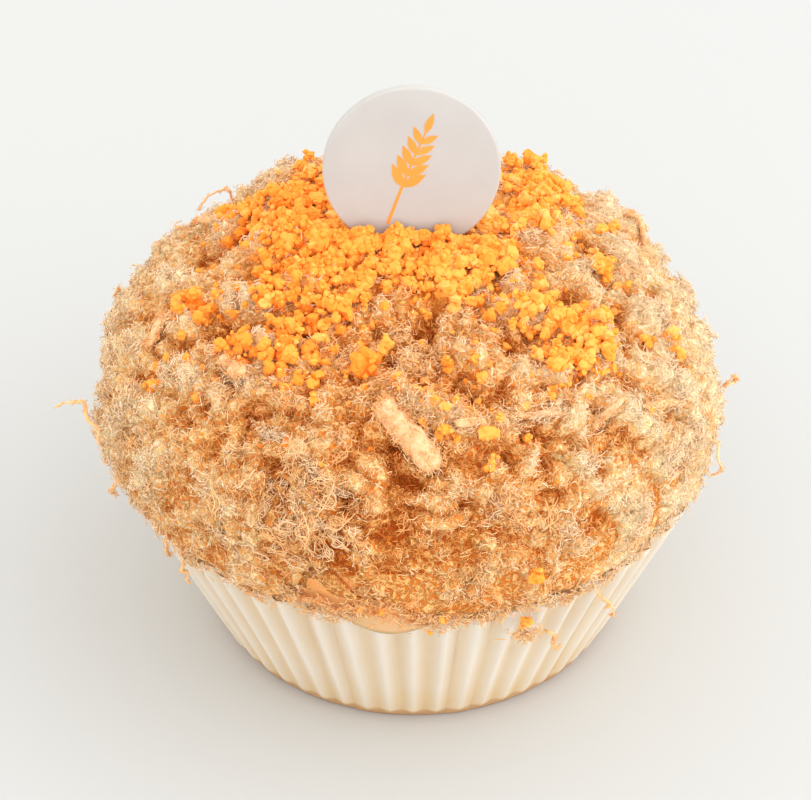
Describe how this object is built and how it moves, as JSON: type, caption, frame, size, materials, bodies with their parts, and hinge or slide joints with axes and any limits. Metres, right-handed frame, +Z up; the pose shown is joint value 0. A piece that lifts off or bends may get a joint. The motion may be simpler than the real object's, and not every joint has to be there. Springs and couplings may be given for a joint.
{
  "type": "salted egg bun with floss in a paper cup",
  "caption": "Baked dome bun in a pleated paper baking cup, coated with floss and salted egg yolk crumbs, with a round white topper plate standing at its crown.",
  "frame": {"origin": "centre of the flat underside of the paper cup", "axes": "+Z up, out of the cup's base; -Y towards the side that the topper plate faces"},
  "size_m": [0.0839, 0.0819, 0.0777],
  "materials": {
    "white_paper": "thin white greaseproof paper, matt, a little see-through",
    "baked_crust": "smooth golden crust with a soft sheen",
    "floss_and_crumbs": "dry tangled fibres in pale tan to orange brown, with matt orange yellow crumbs",
    "white_sugar": "smooth off-white sugar plate, satin"
  },
  "bodies": {
    "root": {"paper_cup": "white_paper", "bun": "baked_crust", "floss": "floss_and_crumbs", "topper_plate": "white_sugar"}
  },
  "joints": []
}
